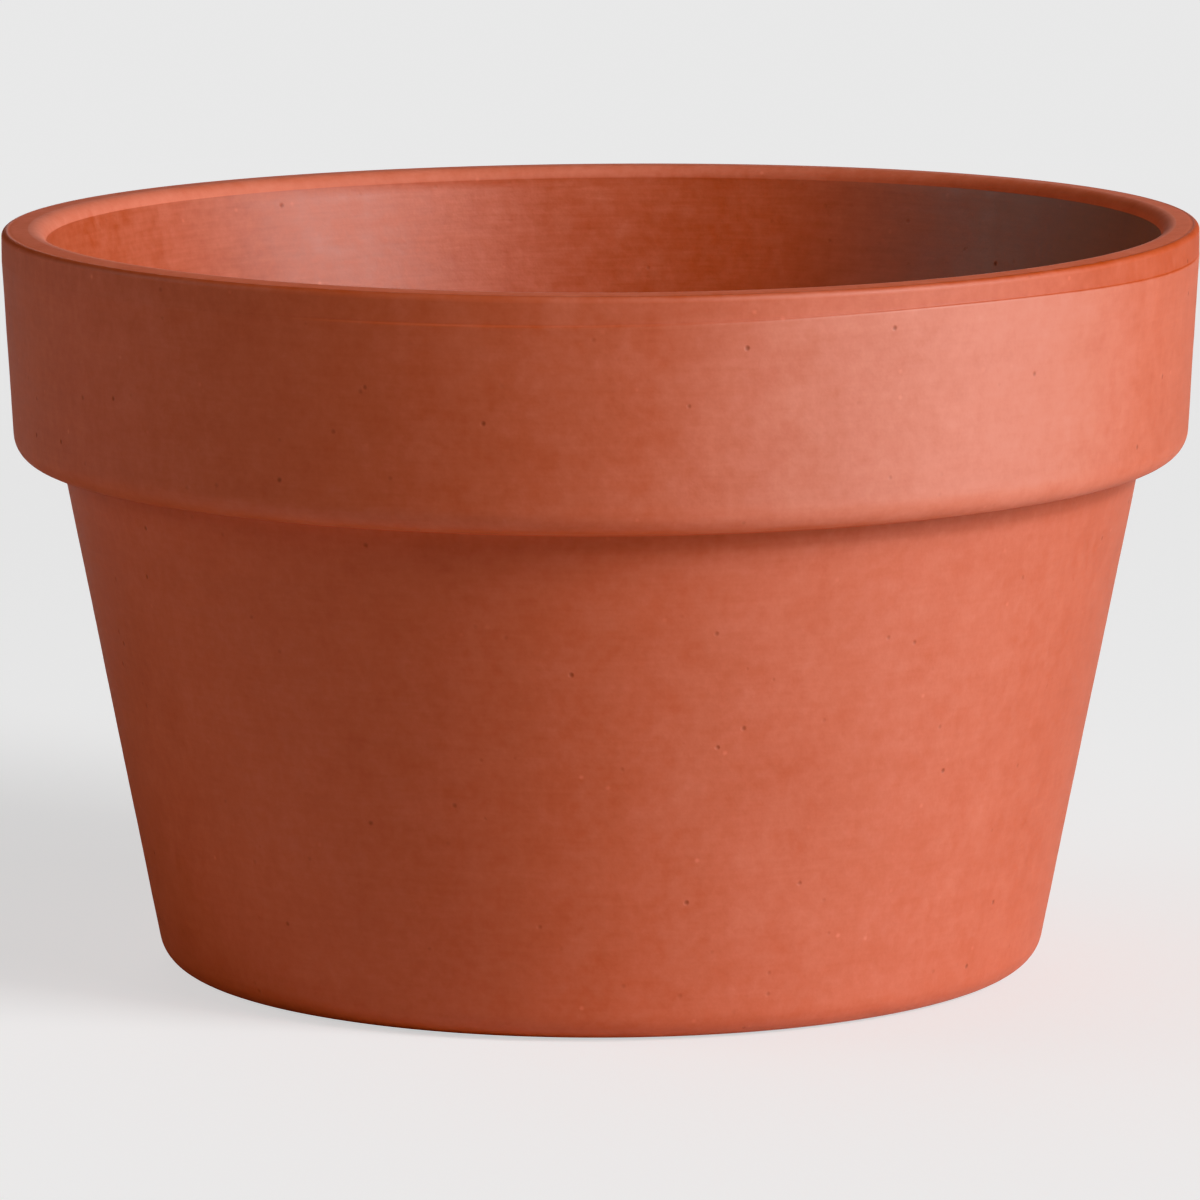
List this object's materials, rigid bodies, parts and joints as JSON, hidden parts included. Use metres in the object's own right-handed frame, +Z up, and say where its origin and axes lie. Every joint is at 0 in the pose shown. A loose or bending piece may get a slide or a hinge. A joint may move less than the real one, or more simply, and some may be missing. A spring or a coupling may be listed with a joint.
{
  "type": "terracotta flower pot",
  "caption": "Low round flower pot of unglazed terracotta with a thick rim band, tapered body, hollow foot and a drainage hole in the floor.",
  "frame": {"origin": "centre of the plane that the foot ring stands on", "axes": "+Z up along the axis the pot was turned about, out of its mouth; +X and +Y are free, as the pot is round"},
  "size_m": [0.2, 0.2, 0.125],
  "materials": {
    "terracotta": "unglazed fired clay, matt, fine turning lines"
  },
  "bodies": {
    "root": {"pot": "terracotta"}
  },
  "joints": []
}
